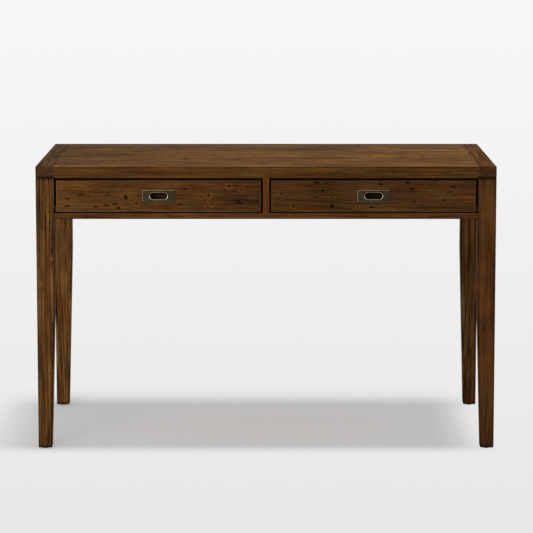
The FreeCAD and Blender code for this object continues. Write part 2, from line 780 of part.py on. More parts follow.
# A drawer: dovetailed box, bottom panel in grooves and an applied face with its pull
def make_drawer(drawer):
    name = f"{drawer}_drawer"
    box_left = opening_start[drawer] + dims.slide_width
    box_middle = box_left + box_width / 2
    wall = dims.box_wall
    inner_start = face_back + wall
    inner_depth = box_depth - 2 * wall
    rear_start = inner_start + inner_depth
    side_left = {"left": box_left, "right": box_left + box_width - wall}

    pitch = box_height / TAILS
    waist = (dims.tail_wide - dims.tail_narrow) / 2

    def tails(side, end):
        pieces = []
        wide = (0, dims.tail_wide)
        narrow = (waist, dims.tail_wide - waist)
        near, far = (wide, narrow) if end == "front" else (narrow, wide)
        start = face_back if end == "front" else rear_start
        for number in range(TAILS):
            tail = doc.addObject("Part::Wedge", f"{name}_{side}_{end}_tail_{number}")
            limits = {"Xmin": 0, "Xmax": wall, "X2min": 0, "X2max": wall, "Ymin": 0, "Ymax": wall,
                      "Zmin": near[0], "Zmax": near[1], "Z2min": far[0], "Z2max": far[1]}
            for limit, size in limits.items():
                tail.setExpression(limit, text_of(size))
            rise = box_foot + pitch * number + (pitch - dims.tail_wide) / 2
            pieces.append(place(tail, (side_left[side], start, rise)))
        return pieces

    tail_sets = {(side, end): tails(side, end) for side in SIDES for end in ENDS}
    panel_inside = wall - dims.groove_bite
    panel_foot = box_foot + dims.groove_rise

    def panel(label, inset):
        return box(label, (box_width - 2 * inset, box_depth - 2 * inset, dims.bottom_thickness),
                   (box_left + inset, face_back + inset, panel_foot))

    node(panel(f"{name}_bottom", panel_inside))
    groove = panel(f"{name}_grooves", panel_inside - dims.seat_gap)

    sizes = (dims.face_screw_radius, dims.face_screw_head, dims.face_screw_sink)
    length = wall + dims.face_screw_bite
    face_screws = []
    face_holes = []
    for across in FACE_SCREW_SHARES:
        for rise in FACE_SCREW_RISE_SHARES:
            label = f"{name}_face_screw_{len(face_screws) + 1}"
            at = (box_middle + box_width * across, inner_start, box_foot + box_height * rise)
            face_screws.append(screw(label, *sizes, length, at, TO_FRONT))
            face_holes.append(screw(f"{label}_hole", *sizes, length + dims.screw_gap, at, TO_FRONT,
                                    dims.screw_gap))
    node(group(f"{name}_face_screws", face_screws))

    for end, start in (("front", face_back), ("rear", rear_start)):
        board = box(f"{name}_box_{end}_board", (box_width, wall, box_height), (box_left, start, box_foot))
        holes = face_holes if end == "front" else []
        sockets = tail_sets["left", end] + tail_sets["right", end]
        node(cut(f"{name}_box_{end}", board, [*sockets, groove, *holes]))

    slide_screws = []
    for side in SIDES:
        board = box(f"{name}_side_{side}_board", (wall, inner_depth, box_height),
                    (side_left[side], inner_start, box_foot))
        tailed = fuse(f"{name}_side_{side}_tailed",
                      [board, *tail_sets[side, "front"], *tail_sets[side, "rear"]])
        screws, holes = make_slide(drawer, side)
        slide_screws += screws
        node(cut(f"{name}_side_{side}", tailed, [groove, *holes]))
    node(group(f"{name}_slide_screws", slide_screws))

    face_start = opening_start[drawer] + dims.side_gap
    face_width = opening_width - 2 * dims.side_gap
    face_foot = rail_top + dims.bottom_gap
    board = box(f"{name}_face_board", (face_width, dims.face_thickness, face_height),
                (face_start, face_front, face_foot))
    eased = ease("Part::Fillet", f"{name}_face_eased", board, dims.face_round,
                 lambda edge: lies_on(edge, "Y", face_front))
    inlay = make_pull(drawer, (face_start + face_width / 2, face_foot + face_height / 2))
    node(cut(f"{name}_face", eased, [*inlay, *face_holes]))


for drawer in SIDES:
    make_drawer(drawer)

# Pieces that carry the desk members of the slides
node(cut("drawer_partition", partition, desk_slide_holes["middle"]))
for side in SIDES:
    node(cut(f"slide_packer_{side}", packers[side], desk_slide_holes[side]))
node(group("desk_slide_screws", desk_slide_screws))

# Every object has to be sound before anything is written
doc.recompute()
for thing in doc.Objects:
    if {"Invalid", "Error"} & set(thing.State):
        raise RuntimeError(f"{thing.Label} failed: {thing.State}")
for piece in nodes:
    if piece.Shape.isNull() or not piece.Shape.isValid() or piece.Shape.Volume <= 0:
        raise RuntimeError(f"{piece.Label} has no sound shape")

os.makedirs("parts", exist_ok=True)
for piece in nodes:
    piece.Shape.exportStep(f"parts/{piece.Label}.step")
print(f"{len(nodes)} pieces written")
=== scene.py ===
import math
import random

import bmesh
import bpy
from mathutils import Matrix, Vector


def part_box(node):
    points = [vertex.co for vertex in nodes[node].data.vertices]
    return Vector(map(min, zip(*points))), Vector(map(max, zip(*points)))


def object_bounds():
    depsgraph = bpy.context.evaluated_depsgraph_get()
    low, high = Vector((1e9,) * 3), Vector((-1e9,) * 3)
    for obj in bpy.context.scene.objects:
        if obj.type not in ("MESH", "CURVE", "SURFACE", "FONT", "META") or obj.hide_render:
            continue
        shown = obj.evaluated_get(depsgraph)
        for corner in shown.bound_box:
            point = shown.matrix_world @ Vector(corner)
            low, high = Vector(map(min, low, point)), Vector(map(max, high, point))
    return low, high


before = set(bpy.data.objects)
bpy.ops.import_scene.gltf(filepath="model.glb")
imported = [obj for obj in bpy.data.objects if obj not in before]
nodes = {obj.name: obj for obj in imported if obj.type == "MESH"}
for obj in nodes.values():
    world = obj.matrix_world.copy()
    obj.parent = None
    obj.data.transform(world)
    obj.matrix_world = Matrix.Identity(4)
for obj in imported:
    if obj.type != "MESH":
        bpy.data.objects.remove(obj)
cadLow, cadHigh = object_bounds()
print("frame loaded:", len(nodes), "nodes")


# a socket that can stand in a sum
class Wire:
    def __init__(self, sheet, socket):
        self.sheet = sheet
        self.socket = socket

    def __add__(self, other):
        return self.sheet.maths("ADD", self, other)

    def __radd__(self, other):
        return self.sheet.maths("ADD", other, self)

    def __sub__(self, other):
        return self.sheet.maths("SUBTRACT", self, other)

    def __rsub__(self, other):
        return self.sheet.maths("SUBTRACT", other, self)

    def __mul__(self, other):
        return self.sheet.maths("MULTIPLY", self, other)

    def __rmul__(self, other):
        return self.sheet.maths("MULTIPLY", other, self)

    def __truediv__(self, other):
        return self.sheet.maths("DIVIDE", self, other)

    def __rtruediv__(self, other):
        return self.sheet.maths("DIVIDE", other, self)

    def __pow__(self, other):
        return self.sheet.maths("POWER", self, other)

    def __rpow__(self, other):
        return self.sheet.maths("POWER", other, self)

    def __abs__(self):
        return self.sheet.maths("ABSOLUTE", self)


# a node tree that is written line by line
class NodeSheet:
    def __init__(self, tree):
        self.tree = tree

    def add(self, kind, settings=None, sockets=None, out=0):
        node = self.tree.nodes.new(kind)
        for name, value in (settings or {}).items():
            if name == "stops":
                setStops(node.color_ramp, value)
            else:
                setattr(node, name, value)
        for name, value in (sockets or {}).items():
            self.feed(node.inputs[name], value)
        return Wire(self, node.outputs[out])

    def feed(self, socket, value):
        if isinstance(value, Wire):
            self.tree.links.new(value.socket, socket)
        else:
            socket.default_value = value

    def maths(self, operation, *values):
        return self.add("ShaderNodeMath", {"operation": operation}, dict(enumerate(values)))

    def vectorMaths(self, operation, sockets):
        return self.add("ShaderNodeVectorMath", {"operation": operation}, sockets)

    def most(self, first, *others):  # the largest of some values
        for other in others:
            first = self.maths("MAXIMUM", first, other)
        return first

    def between(self, value, low, high):  # 0 at low, 1 at high, smooth in between
        return self.add("ShaderNodeMapRange", {"interpolation_type": "SMOOTHSTEP"},
                        {"Value": value, "From Min": low, "From Max": high})

    def mix(self, share, first, second, kind="MIX"):  # colours are inputs 6 and 7 and output 2 of a Mix node
        return self.add("ShaderNodeMix", {"data_type": "RGBA", "blend_type": kind},
                        {0: share, 6: first, 7: second}, 2)

    def ramp(self, level, stops):
        return self.add("ShaderNodeValToRGB", {"stops": stops}, {0: level})

    def noise(self, place, detail, roughness, out="Fac"):
        return self.add("ShaderNodeTexNoise", None,
                        {"Vector": place, "Scale": 1.0, "Detail": detail, "Roughness": roughness}, out)

    def split(self, vector):
        parts = self.add("ShaderNodeSeparateXYZ", None, {0: vector}).socket.node
        return [Wire(self, socket) for socket in parts.outputs]

    def mapped(self, place, scale, shift=(0, 0, 0), kind="POINT"):
        return self.add("ShaderNodeMapping", {"vector_type": kind},
                        {"Vector": place, "Location": shift, "Scale": scale})


# a material with one principled shader
class Finish(NodeSheet):
    def __init__(self, name):
        self.material = bpy.data.materials.new(name)
        self.material.use_nodes = True
        super().__init__(self.material.node_tree)
        self.shader = self.tree.nodes["Principled BSDF"]
        self.place = self.add("ShaderNodeTexCoord", out="Object")

    def texture(self, scale, detail, roughness):  # noise with a scale along each axis
        return self.noise(self.mapped(self.place, scale), detail, roughness)

    def coat(self, sockets):
        for name, value in sockets.items():
            self.feed(self.shader.inputs[name], value)

    def bump(self, height, strength, depth):
        return self.add("ShaderNodeBump", None, {"Height": height, "Strength": strength, "Distance": depth})

    def wear(self, *names):
        for name in names:
            nodes[name].material_slots[0].material = self.material


def setStops(ramp, stops):
    while len(ramp.elements) < len(stops):
        ramp.elements.new(1.0)
    for element, (place, level) in zip(ramp.elements, stops):
        element.position = place
        element.color = level if isinstance(level, tuple) else (level, level, level, 1.0)


def tone(red, green, blue):  # a colour as a screen shows it, 0 to 255, turned into light by the sRGB curve
    def light(level):
        share = level / 255
        return share / 12.92 if share <= 0.04045 else ((share + 0.055) / 1.055) ** 2.4
    return (light(red), light(green), light(blue), 1.0)


# stain and grain of each kind of board; lengths in metres, tones from dark to pale
deskStain = {
    "tones": [(0.0, tone(24, 14, 8)), (0.3, tone(60, 37, 18)), (0.5, tone(87, 56, 29)),
              (0.7, tone(112, 76, 40)), (1.0, tone(150, 110, 64))],
    "rust": (1.12, 0.97, 0.8, 1.0), "olive": (0.92, 1.02, 1.12, 1.0),  # warm and cold casts of the stain
    "coarse": 1.0, "cloudShare": 0.45, "streakShare": 0.75, "fleckShare": 0.36,
    "lean": 0.0, "frontDrop": 0.0,  # paler along the grain, per metre, and darker on the front
    "ringGap": 0.0062, "ringDepth": 0.16, "sway": 0.022, "taper": 0.02,
    "core": tone(36, 17, 8), "coreShare": 0.85, "ring": tone(126, 84, 40),  # knots and the wood round them
    "dash": tone(14, 8, 5), "flash": tone(158, 96, 40),  # dark splits and pale flashes
    "end": tone(70, 46, 27), "seam": tone(38, 26, 18),  # end grain and its dark lines
    "worn": tone(118, 72, 30), "wornShare": 0.35, "edgeMarkReach": 0.0034,  # handled edges
    "armTone": tone(158, 126, 92), "armShare": 0.0,  # where arms lie on the top
    "gap": tone(30, 19, 11),  # painted shade for faces that only a gap shows, under sides and seams, and the colour of the darker bands
    "roughness": 0.62, "specular": 0.01, "bumpDepth": 0.0005,
}
boxPine = dict(
    deskStain,
    tones=[(0.0, tone(122, 76, 38)), (0.3, tone(164, 118, 70)), (0.5, tone(188, 144, 94)),
           (0.7, tone(204, 166, 116)), (1.0, tone(216, 182, 136))],
    rust=(1.04, 0.99, 0.92, 1.0), olive=(0.98, 1.0, 1.03, 1.0),
    worn=tone(206, 172, 126), wornShare=0.2, end=tone(152, 110, 66), seam=tone(120, 84, 50),
    roughness=0.5, specular=0.2,
)
# hidden parts, in tones darker than the frame's as painted shade for the gaps that show them
innerPine = dict(
    deskStain,
    tones=[(0.0, tone(30, 18, 9)), (0.3, tone(46, 30, 17)), (0.5, tone(60, 41, 23)), (0.7, tone(73, 51, 30)),
           (1.0, tone(90, 65, 40))],
    worn=tone(80, 58, 36), wornShare=0.2, end=tone(45, 31, 18),
)
plyBottom = dict(
    boxPine,
    ringGap=0.012, ringDepth=0.3, sway=0.06, coarse=3.0, cloudShare=0.3, streakShare=0.5, fleckShare=0.24,
)


def stainedAndShaded(look, red, green, blue, **changes):  # the same wood in another tone, partly its own stain and partly painted light and shade
    def stainAndShade(colour):
        return (colour[0] * red, colour[1] * green, colour[2] * blue, 1.0)
    colourKeys = ("worn", "end", "core", "ring", "dash", "seam")
    recoloured = {name: stainAndShade(look[name]) for name in colourKeys}
    tones = [(place, stainAndShade(colour)) for place, colour in look["tones"]]
    return {**look, **recoloured, "tones": tones, **changes}


# what all the pine has alike; a pair of limits is where a blend starts and where it is full
axisOrder = {"x": (0, 1, 2), "y": (1, 0, 2), "z": (2, 0, 1)}  # along, wide and thick
turnedAlong = (0.6, 0.9)  # parts of a normal for a face that looks along an axis
turnedAgainst = (-0.6, -0.9)  # and for one that looks against it
noiseMiddle = 0.5  # noise lies evenly about this level
seedStrides = ((7.31, 1), (3.17, -1), (5.73, 1))  # a seed's stride along each axis, and the offset's way
# scale along the grain and across it, offset, detail and roughness
grainNoises = {
    "sway": (3.2, 9.0, 0.0, 2.0, 0.5), "cloud": (9.0, 34.0, 0.0, 3.0, 0.55),
    "streak": (5.0, 260.0, 3.1, 2.0, 0.6), "fleck": (34.0, 260.0, 8.7, 2.0, 0.6),
    "fibre": (40.0, 1200.0, 0.0, 2.0, 0.6), "warmth": (14.0, 90.0, 1.3, 3.0, 0.6),
    "stray": (120.0, 320.0, 2.3, 2.0, 0.6),
}
ringLook = {"stops": [(0.0, 0.0), (0.5, 0.2), (0.84, 1.0), (0.95, 0.85), (1.0, 0.0)], "faintest": 0.1,
            "fray": 0.5, "eyeBend": 0.007}
stainLook = {"level": 0.545, "fibreShare": 0.25, "patchShare": 0.3, "cast": (-0.14, 0.14),
             "frontMiddle": 0.5, "frontCalm": 0.25, "frontLean": 0.1}
reliefLook = {"fibre": 0.5, "streak": 0.4, "rings": 0.5, "core": 1.0, "split": 1.8, "strength": 0.5}
markLook = {"stray": 0.009, "depth": 1.0}  # how far outlines wander, and deeper than any board
eyeLook = {"spread": 3, "fray": 0.5, "halo": (0.05, 0.55), "haloStreak": (-0.14, 0.06), "haloShare": 0.4,
           "core": (0.66, 0.84)}
dashLook = {"fray": 0.7, "split": (0.05, 0.32), "share": 0.9}
flashLook = {"fray": 0.8, "pale": (0.1, 0.5), "share": 0.7}
endLook = {"turn": (0.6, 0.85), "share": 0.85, "ringShare": 0.8, "rougher": 0.2,
           "poreNoise": ((650.0, 650.0, 650.0), 2.0, 0.6), "pores": (0.35, 0.65), "poreShare": 0.4}
edgeMarkLook = {"cloudFray": 0.008, "streakFray": 0.006, "full": 0.0008, "smoother": 0.06, "fibreRoughness": 0.2}
armLook = {"reach": (0.036, 0.008)}  # from the front edge


def thirdAxis(first, second):
    return 3 - first - second


# a board of pine: growth rings, uneven stain, marks, and edges that hands have worn
class PineBoard(Finish):
    def __init__(self, node, grain, look, seed):
        super().__init__(f"{node}_pine")
        self.look = look
        self.seed = seed
        self.order = axisOrder[grain]
        self.low, self.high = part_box(node)
        self.middle = (self.low + self.high) / 2
        self.at = self.split(self.place)
        self.facing = self.split(self.add("ShaderNodeTexCoord", out="Normal"))
        self.fibre = self.grain("fibre")
        self.cloud = self.grain("cloud")
        self.streak = self.grain("streak", look["coarse"])
        self.fleck = self.grain("fleck", look["coarse"])

    def grainNoise(self, name, coarse=1.0, out="Fac"):
        lengthwise, across, step, detail, roughness = grainNoises[name]
        scale = [across] * 3
        scale[self.order[1]] = across / coarse
        scale[self.order[0]] = lengthwise
        shift = [self.seed * stride + way * step for stride, way in seedStrides]
        return self.noise(self.mapped(self.place, scale, shift), detail, roughness, out)

    def grain(self, name, coarse=1.0):  # noise about zero
        return self.grainNoise(name, coarse) - noiseMiddle

    # eyes are the round ends of branches, dashes are splits and flashes are pale streaks
    def markFields(self, marks):
        if not marks:
            return None, None, None
        stray = self.grainNoise("stray", out="Color")
        stray = self.vectorMaths("SUBTRACT", {0: stray, 1: (noiseMiddle, noiseMiddle, noiseMiddle)})
        stray = self.vectorMaths("SCALE", {0: stray, "Scale": markLook["stray"]})
        bent = self.vectorMaths("ADD", {0: self.place, 1: stray})
        eyes = self.markField(marks["eyes"], marks["branch"], bent, eyeLook["spread"])
        dashes = self.markField(marks["dashes"], marks["branch"], bent)
        flashes = self.markField(marks.get("flashes"), marks["branch"], bent)
        return eyes, dashes, flashes

    # a mark is 1 at its middle and 0 at its ragged outline, and runs through the board along the branch
    def markField(self, marks, branch, bent, spread=1):
        if not marks:
            return None
        lengthAxis = self.order[0]
        through = "xyz".index(branch)
        side = thirdAxis(through, lengthAxis)
        balls = []
        for lengthwise, sideways, halfLength, halfHeight in marks:
            centre = list(self.middle)
            centre[lengthAxis] = self.low[lengthAxis] + lengthwise
            centre[side] = self.low[side] + sideways
            reach = [spread * halfHeight] * 3
            reach[lengthAxis] = spread * halfLength
            reach[through] = markLook["depth"]
            balls.append(self.add("ShaderNodeTexGradient", {"gradient_type": "SPHERICAL"},
                                  {"Vector": self.mapped(bent, reach, centre, "TEXTURE")}, "Fac"))
        return self.most(*balls)

    # rings stand round the pith, sway along the board and bend round the eyes
    def growRings(self, pith, eyes):
        swayWide, swayThick, self.patch = [
            part - noiseMiddle for part in self.split(self.grainNoise("sway", out="Color"))]
        lengthwise, wide, thick = [self.at[axis] for axis in self.order]
        fromWide = wide - (self.middle[self.order[1]] + pith[0]) + swayWide * self.look["sway"]
        fromThick = thick - (self.middle[self.order[2]] + pith[1]) + swayThick * self.look["sway"]
        reach = (fromWide * fromWide + fromThick * fromThick) ** 0.5 + lengthwise * self.look["taper"]
        if eyes:
            reach = reach + eyes * ringLook["eyeBend"]
        rings = reach / self.look["ringGap"] + self.fibre * ringLook["fray"]
        late = self.ramp(self.maths("FRACT", rings), ringLook["stops"])
        strength = self.add("ShaderNodeTexWhiteNoise", {"noise_dimensions": "1D"},
                            {"W": self.maths("FLOOR", rings) + self.seed}, "Value")
        self.lines = late * (strength * (1 - ringLook["faintest"]) + ringLook["faintest"])

    # stain soaks in unevenly: clouds, long streaks, short flecks and fine fibres
    def soak(self):
        look = self.look
        level = self.cloud * look["cloudShare"] + self.streak * look["streakShare"]
        level = level + self.fleck * look["fleckShare"] + self.fibre * stainLook["fibreShare"]
        level = level + self.patch * stainLook["patchShare"] + stainLook["level"]
        level = level - self.lines * look["ringDepth"]
        fromMiddle = self.at[self.order[0]] - self.middle[self.order[0]]
        if look["lean"]:
            level = level + fromMiddle * look["lean"]
        if look["frontDrop"]:
            front = self.between(self.facing[1], *turnedAgainst)
            calm = (level - stainLook["frontMiddle"]) * stainLook["frontCalm"]
            level = level - (calm + fromMiddle * stainLook["frontLean"] + look["frontDrop"]) * front
        cast = self.mix(self.between(self.grain("warmth"), *stainLook["cast"]), look["olive"], look["rust"])
        self.colour = self.mix(1.0, self.ramp(level, look["tones"]), cast, "MULTIPLY")
        self.height = self.fibre * reliefLook["fibre"] + self.streak * reliefLook["streak"]
        self.height = self.height - self.lines * reliefLook["rings"]

    def drawEyes(self, eyes):
        ragged = eyes + self.fleck * eyeLook["fray"]
        halo = self.between(ragged, *eyeLook["halo"]) * self.between(self.streak, *eyeLook["haloStreak"])
        self.colour = self.mix(halo * eyeLook["haloShare"], self.colour, self.look["ring"])
        core = self.between(ragged, *eyeLook["core"])
        self.colour = self.mix(core * self.look["coreShare"], self.colour, self.look["core"])
        self.height = self.height - core * reliefLook["core"]

    def drawDashes(self, dashes):
        split = self.between(dashes + self.fleck * dashLook["fray"], *dashLook["split"])
        self.colour = self.mix(split * dashLook["share"], self.colour, self.look["dash"])
        self.height = self.height - split * reliefLook["split"]

    def drawFlashes(self, flashes):
        pale = self.between(flashes + self.streak * flashLook["fray"], *flashLook["pale"])
        self.colour = self.mix(pale * flashLook["share"], self.colour, self.look["flash"])

    # bare ends drink more stain, and edges turn paler where hands wore them, or darker on the legs and end
    # boards
    def finishEdges(self, spans):
        self.ends = self.between(abs(self.facing[self.order[0]]), *endLook["turn"])
        pores = self.between(self.texture(*endLook["poreNoise"]), *endLook["pores"])
        endLines = self.lines * endLook["ringShare"] + pores * endLook["poreShare"]
        endTone = self.mix(endLines, self.look["end"], self.look["seam"])
        self.colour = self.mix(self.ends * endLook["share"], self.colour, endTone)
        fray = self.cloud * edgeMarkLook["cloudFray"] + self.streak * edgeMarkLook["streakFray"]
        self.worn = self.between(edgeGap(self, spans) + fray, self.look["edgeMarkReach"], edgeMarkLook["full"])
        self.colour = self.mix(self.worn * self.look["wornShare"], self.colour, self.look["worn"])

    def bleachFront(self):  # arms bleach the upper side along the front edge
        arms = self.between(self.at[1] - self.low.y, *armLook["reach"]) * upperSide(self)
        self.colour = self.mix(arms * self.look["armShare"], self.colour, self.look["armTone"])

    def varnish(self):
        rougher = self.fibre * edgeMarkLook["fibreRoughness"] + self.ends * endLook["rougher"]
        self.coat({
            "Base Color": self.colour,
            "Roughness": self.look["roughness"] + rougher - self.worn * edgeMarkLook["smoother"],
            "Specular IOR Level": self.look["specular"],
            "Normal": self.bump(self.height, reliefLook["strength"], self.look["bumpDepth"]),
        })


# edges of a board, as its place, middle and half width along each axis
def spansBetween(at, low, high):
    return [(at[axis], (low[axis] + high[axis]) / 2, (high[axis] - low[axis]) / 2) for axis in range(3)]


def edgeGap(finish, spans):  # how near a point of the surface is to the nearest edge
    first, second, third = [half - abs(at - middle) for at, middle, half in spans]
    nearer = finish.maths("MINIMUM", first, second)
    farther = finish.maths("MAXIMUM", first, second)
    return finish.most(nearer, finish.maths("MINIMUM", farther, third))


def boxSpans(node, at):
    return spansBetween(at, *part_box(node))


def pine(node, grain, look, seed, pith, marks=None, spansOf=boxSpans, shadeOf=None):
    board = PineBoard(node, grain, look, seed)
    eyes, dashes, flashes = board.markFields(marks)
    board.growRings(pith, eyes)
    board.soak()
    if eyes:
        board.drawEyes(eyes)
    if dashes:
        board.drawDashes(dashes)
    if flashes:
        board.drawFlashes(flashes)
    board.finishEdges(spansOf(node, board.at))
    if look["armShare"]:
        board.bleachFront()
    # painted shade, and the darker bands, mixed in with the gap tone
    if shadeOf:
        board.colour = board.mix(shadeOf(board), board.colour, look["gap"])
    board.varnish()
    board.wear(node)


# marks at random, in metres; a size is the limits of half the length and of half the height
scatterLook = {
    "endMargin": 0.02, "band": (0.1, 0.9), "eyeSeed": 0.5,
    "dash": ((0.003, 0.009), (0.0012, 0.0026)), "wideDash": ((0.006, 0.016), (0.003, 0.006)),
    "eye": ((0.004, 0.007), (0.003, 0.005)),
}


def scattered(node, grain, branch, seed, count, size):
    low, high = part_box(node)
    lengthAxis = "xyz".index(grain)
    side = thirdAxis("xyz".index(branch), lengthAxis)
    margin = scatterLook["endMargin"]
    lengths, heights = scatterLook[size]
    draw = random.Random(seed)
    return [(draw.uniform(margin, high[lengthAxis] - low[lengthAxis] - margin),
             draw.uniform(*scatterLook["band"]) * (high[side] - low[side]),
             draw.uniform(*lengths), draw.uniform(*heights)) for each in range(count)]


def randomMarks(node, grain, branch, seed, dashCount, eyeCount, dashSize="dash"):
    return {"branch": branch,
            "dashes": scattered(node, grain, branch, seed, dashCount, dashSize),
            "eyes": scattered(node, grain, branch, seed + scatterLook["eyeSeed"], eyeCount, "eye")}


def placedMarks(marks):  # marks that are given in mm, on a face that looks to the front
    kinds = ("dashes", "eyes", "flashes")
    metres = {kind: [tuple(length / 1000 for length in mark) for mark in marks[kind]] for kind in kinds}
    return {"branch": "y", **metres}


# dark bands: reach from the edge they run along, clear to dark, their share, and how far the outline strays
darkBandLook = {
    # painted shade: endBoardFoot and legTop at the seam under the desktop, faceTop under the desktop's edge,
    # faceRight in the gap right of a drawer face; railFoot, topRear, sole and soleEdge only darken
    "railFoot": {"reach": (0.004, 0.001), "share": 0.7},
    "topRear": {"reach": (0.04, 0.004), "share": 0.4},
    "endBoardFoot": {"reach": (0.008, 0.002), "share": 0.45},
    "legTop": {"reach": (0.013, 0.002), "share": 0.45, "stray": -0.004},
    "sole": {"reach": (0.02, 0.002), "share": 0.62, "stray": 0.012},
    "soleEdge": {"reach": (0.0095, 0.006), "share": 0.9, "stray": 0.004},
    "faceTop": {"reach": (0.0042, 0.0012), "share": 0.5},
    "faceRight": {"reach": (0.0026, 0.0012), "share": 0.8},
}
darkBandNoise = ((260.0, 260.0, 60.0), 3.0, 0.6)


def darkBand(board, name, fromEdge, ragged=None):
    look = darkBandLook[name]
    if ragged:
        fromEdge = fromEdge + ragged * look["stray"]
    return board.between(fromEdge, *look["reach"]) * look["share"]


def upperSide(board):
    return board.between(board.facing[2], *turnedAlong)


def underSide(board):
    return board.between(board.facing[2], *turnedAgainst)


# desktop: five long planks between two end boards; a lower number is nearer the front
desktop = {
    "tints": {1: (1.22, 1.25, 1.08), 2: (1.15, 1.2, 1.04), 3: (1.21, 1.27, 1.07), 4: (1.11, 1.18, 1.1),
              5: (1.07, 1.12, 1.08)},
    "wood": {"coarse": 5.0, "cloudShare": 0.3, "streakShare": 1.0, "fleckShare": 0.5, "ringDepth": 0.2,
             "lean": 0.11, "specular": 0.005,
             "rust": (1.06, 0.99, 0.9, 1.0), "olive": (0.96, 1.01, 1.05, 1.0)},
    "front": {"armShare": 0.18, "frontDrop": 0.072},
    "seedStep": 1.7, "pithSide": 0.04, "pithDepth": -0.05, "pithStep": -0.008, "dashes": 4, "eyes": 3,
    "liftedTop": 0.02,
}
endBoards = {
    "left": {"seed": 11.3, "tint": (0.68, 0.75, 0.71), "end": tone(94, 63, 41)},
    "right": {"seed": 12.9, "tint": (0.83, 0.78, 0.58), "end": tone(81, 53, 36)},
}
# the end boards' edges turn darker, not paler
endBoardWood = {"coarse": 1.6, "streakShare": 1.5, "specular": 0.005, "worn": tone(24, 14, 8),
                "wornShare": 0.75, "edgeMarkReach": 0.0048}
endBoardGrain = {"pith": (0.03, -0.06), "dashes": 3, "eyes": 2}
plankNames = {number: f"top_plank_{number}" for number in desktop["tints"]}
topBoards = [*plankNames.values(), *[f"top_end_{side}" for side in endBoards]]


def topSpans(node, at):  # the box reaches above the desktop, so that its upper edges get no edge marks
    boxes = [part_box(name) for name in topBoards]
    low = [min(box[0][axis] for box in boxes) for axis in range(3)]
    high = [max(box[1][axis] for box in boxes) for axis in range(3)]
    high[2] = high[2] + desktop["liftedTop"]
    return spansBetween(at, low, high)


def rearShade(board):  # painted shade on the under side, and a darker band along the rear edge
    return board.most(underSide(board), darkBand(board, "topRear", board.high.y - board.at[1]))


def endBoardShade(board):  # painted shade on the under side and at the seam with the legs
    return board.most(underSide(board), darkBand(board, "endBoardFoot", board.at[2] - board.low.z))


for number, tint in desktop["tints"].items():
    name = plankNames[number]
    look = stainedAndShaded(deskStain, *tint, **desktop["wood"])
    # the planks' under sides get painted shade
    shadeOf = underSide
    if number == min(plankNames):
        look = dict(look, **desktop["front"])
    if number == max(plankNames):
        shadeOf = rearShade
    pith = (desktop["pithSide"] * (-1) ** number, desktop["pithDepth"] + desktop["pithStep"] * number)
    marks = randomMarks(name, "x", "z", number, desktop["dashes"], desktop["eyes"], "wideDash")
    pine(name, "x", look, desktop["seedStep"] * number, pith, marks, topSpans, shadeOf)
for side, own in endBoards.items():
    name = f"top_end_{side}"
    look = stainedAndShaded(deskStain, *own["tint"], end=own["end"], **endBoardWood)
    marks = randomMarks(name, "y", "z", own["seed"], endBoardGrain["dashes"], endBoardGrain["eyes"])
    pine(name, "y", look, own["seed"], endBoardGrain["pith"], marks, topSpans, endBoardShade)
print("desktop finished")

# legs are square above the shoulder and lose width on their inner faces below it; lengths in metres
legLow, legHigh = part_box("leg_front_left")
legShape = {"head": legHigh.x - legLow.x, "foot": 0.036, "shoulder": 0.461, "sole": legLow.z}
# painted shade on the face beside a drawer: reach from the leg's inner side, and from the drawer's foot
legBeside = {"inner": (0.009, 0.001), "up": (-0.003, 0.0)}
# marks in mm: up from the sole, across from the left side, half length and half height
# leg tints are partly the wood's tone and partly painted light and shade, paler on the left
legWood = {
    "front_left": {
        "seed": 21.7, "pith": (0.05, 0.055), "tint": (1.14, 1.17, 1.19), "streakShare": 1.3, "lean": -0.08,
        "dashes": [(520, 41, 30, 1.6), (470, 12, 26, 1.2), (600, 26, 40, 1.4), (330, 42, 24, 1.2),
                   (672, 9, 46, 1.1), (640, 18, 60, 1.0), (680, 29, 40, 1.1), (620, 36, 50, 1.0)],
        "eyes": [(203, 33, 5, 4), (446, 9, 5, 4), (362, 14, 4, 3)],
        "flashes": [(513, 41, 11, 2.4), (424, 41, 12, 2.4), (446, 12, 8, 4)],
    },
    "front_right": {
        "seed": 26.3, "pith": (-0.02, 0.06), "tint": (0.84, 0.77, 0.74), "streakShare": 0.6, "lean": 0.21,
        "dashes": [(330, 20, 14, 1.2), (545, 31, 18, 1.2)], "eyes": [(610, 24, 4, 3)], "flashes": [],
    },
    "rear_left": {
        "seed": 27.3, "pith": (0.03, -0.05), "tint": (1.54, 1.62, 1.56), "streakShare": 1.3, "lean": 0.0,
        "dashes": [(300, 12, 30, 1.4), (430, 30, 22, 1.4)], "eyes": [(525, 34, 5, 4), (120, 20, 4, 3)],
        "flashes": [],
    },
    "rear_right": {
        "seed": 30.9, "pith": (-0.05, -0.04), "tint": (0.72, 0.75, 0.8), "streakShare": 1.3, "lean": 0.0,
        "dashes": [(410, 22, 30, 1.6), (250, 30, 20, 1.4)], "eyes": [(90, 24, 4, 3)], "flashes": [],
    },
}
# the legs' edges turn darker, not paler
allLegs = {"fleckShare": 0.24, "coarse": 1.2, "coreShare": 0.4, "worn": tone(26, 15, 7), "wornShare": 0.8,
           "edgeMarkReach": 0.0045}


def legSpans(node, at):
    low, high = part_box(node)
    drop = (legShape["shoulder"] - at[2]) / (legShape["shoulder"] - legShape["sole"])
    drop = at[2].sheet.most(drop, 0.0)
    half = legShape["head"] / 2 - drop * ((legShape["head"] - legShape["foot"]) / 2)
    spans = spansBetween(at, low, high)
    for axis in (0, 1):
        outer = low[axis] if low[axis] + high[axis] < 0 else high[axis]
        inward = 1 if outer < 0 else -1
        spans[axis] = (at[axis], outer + inward * half, half)
    return spans


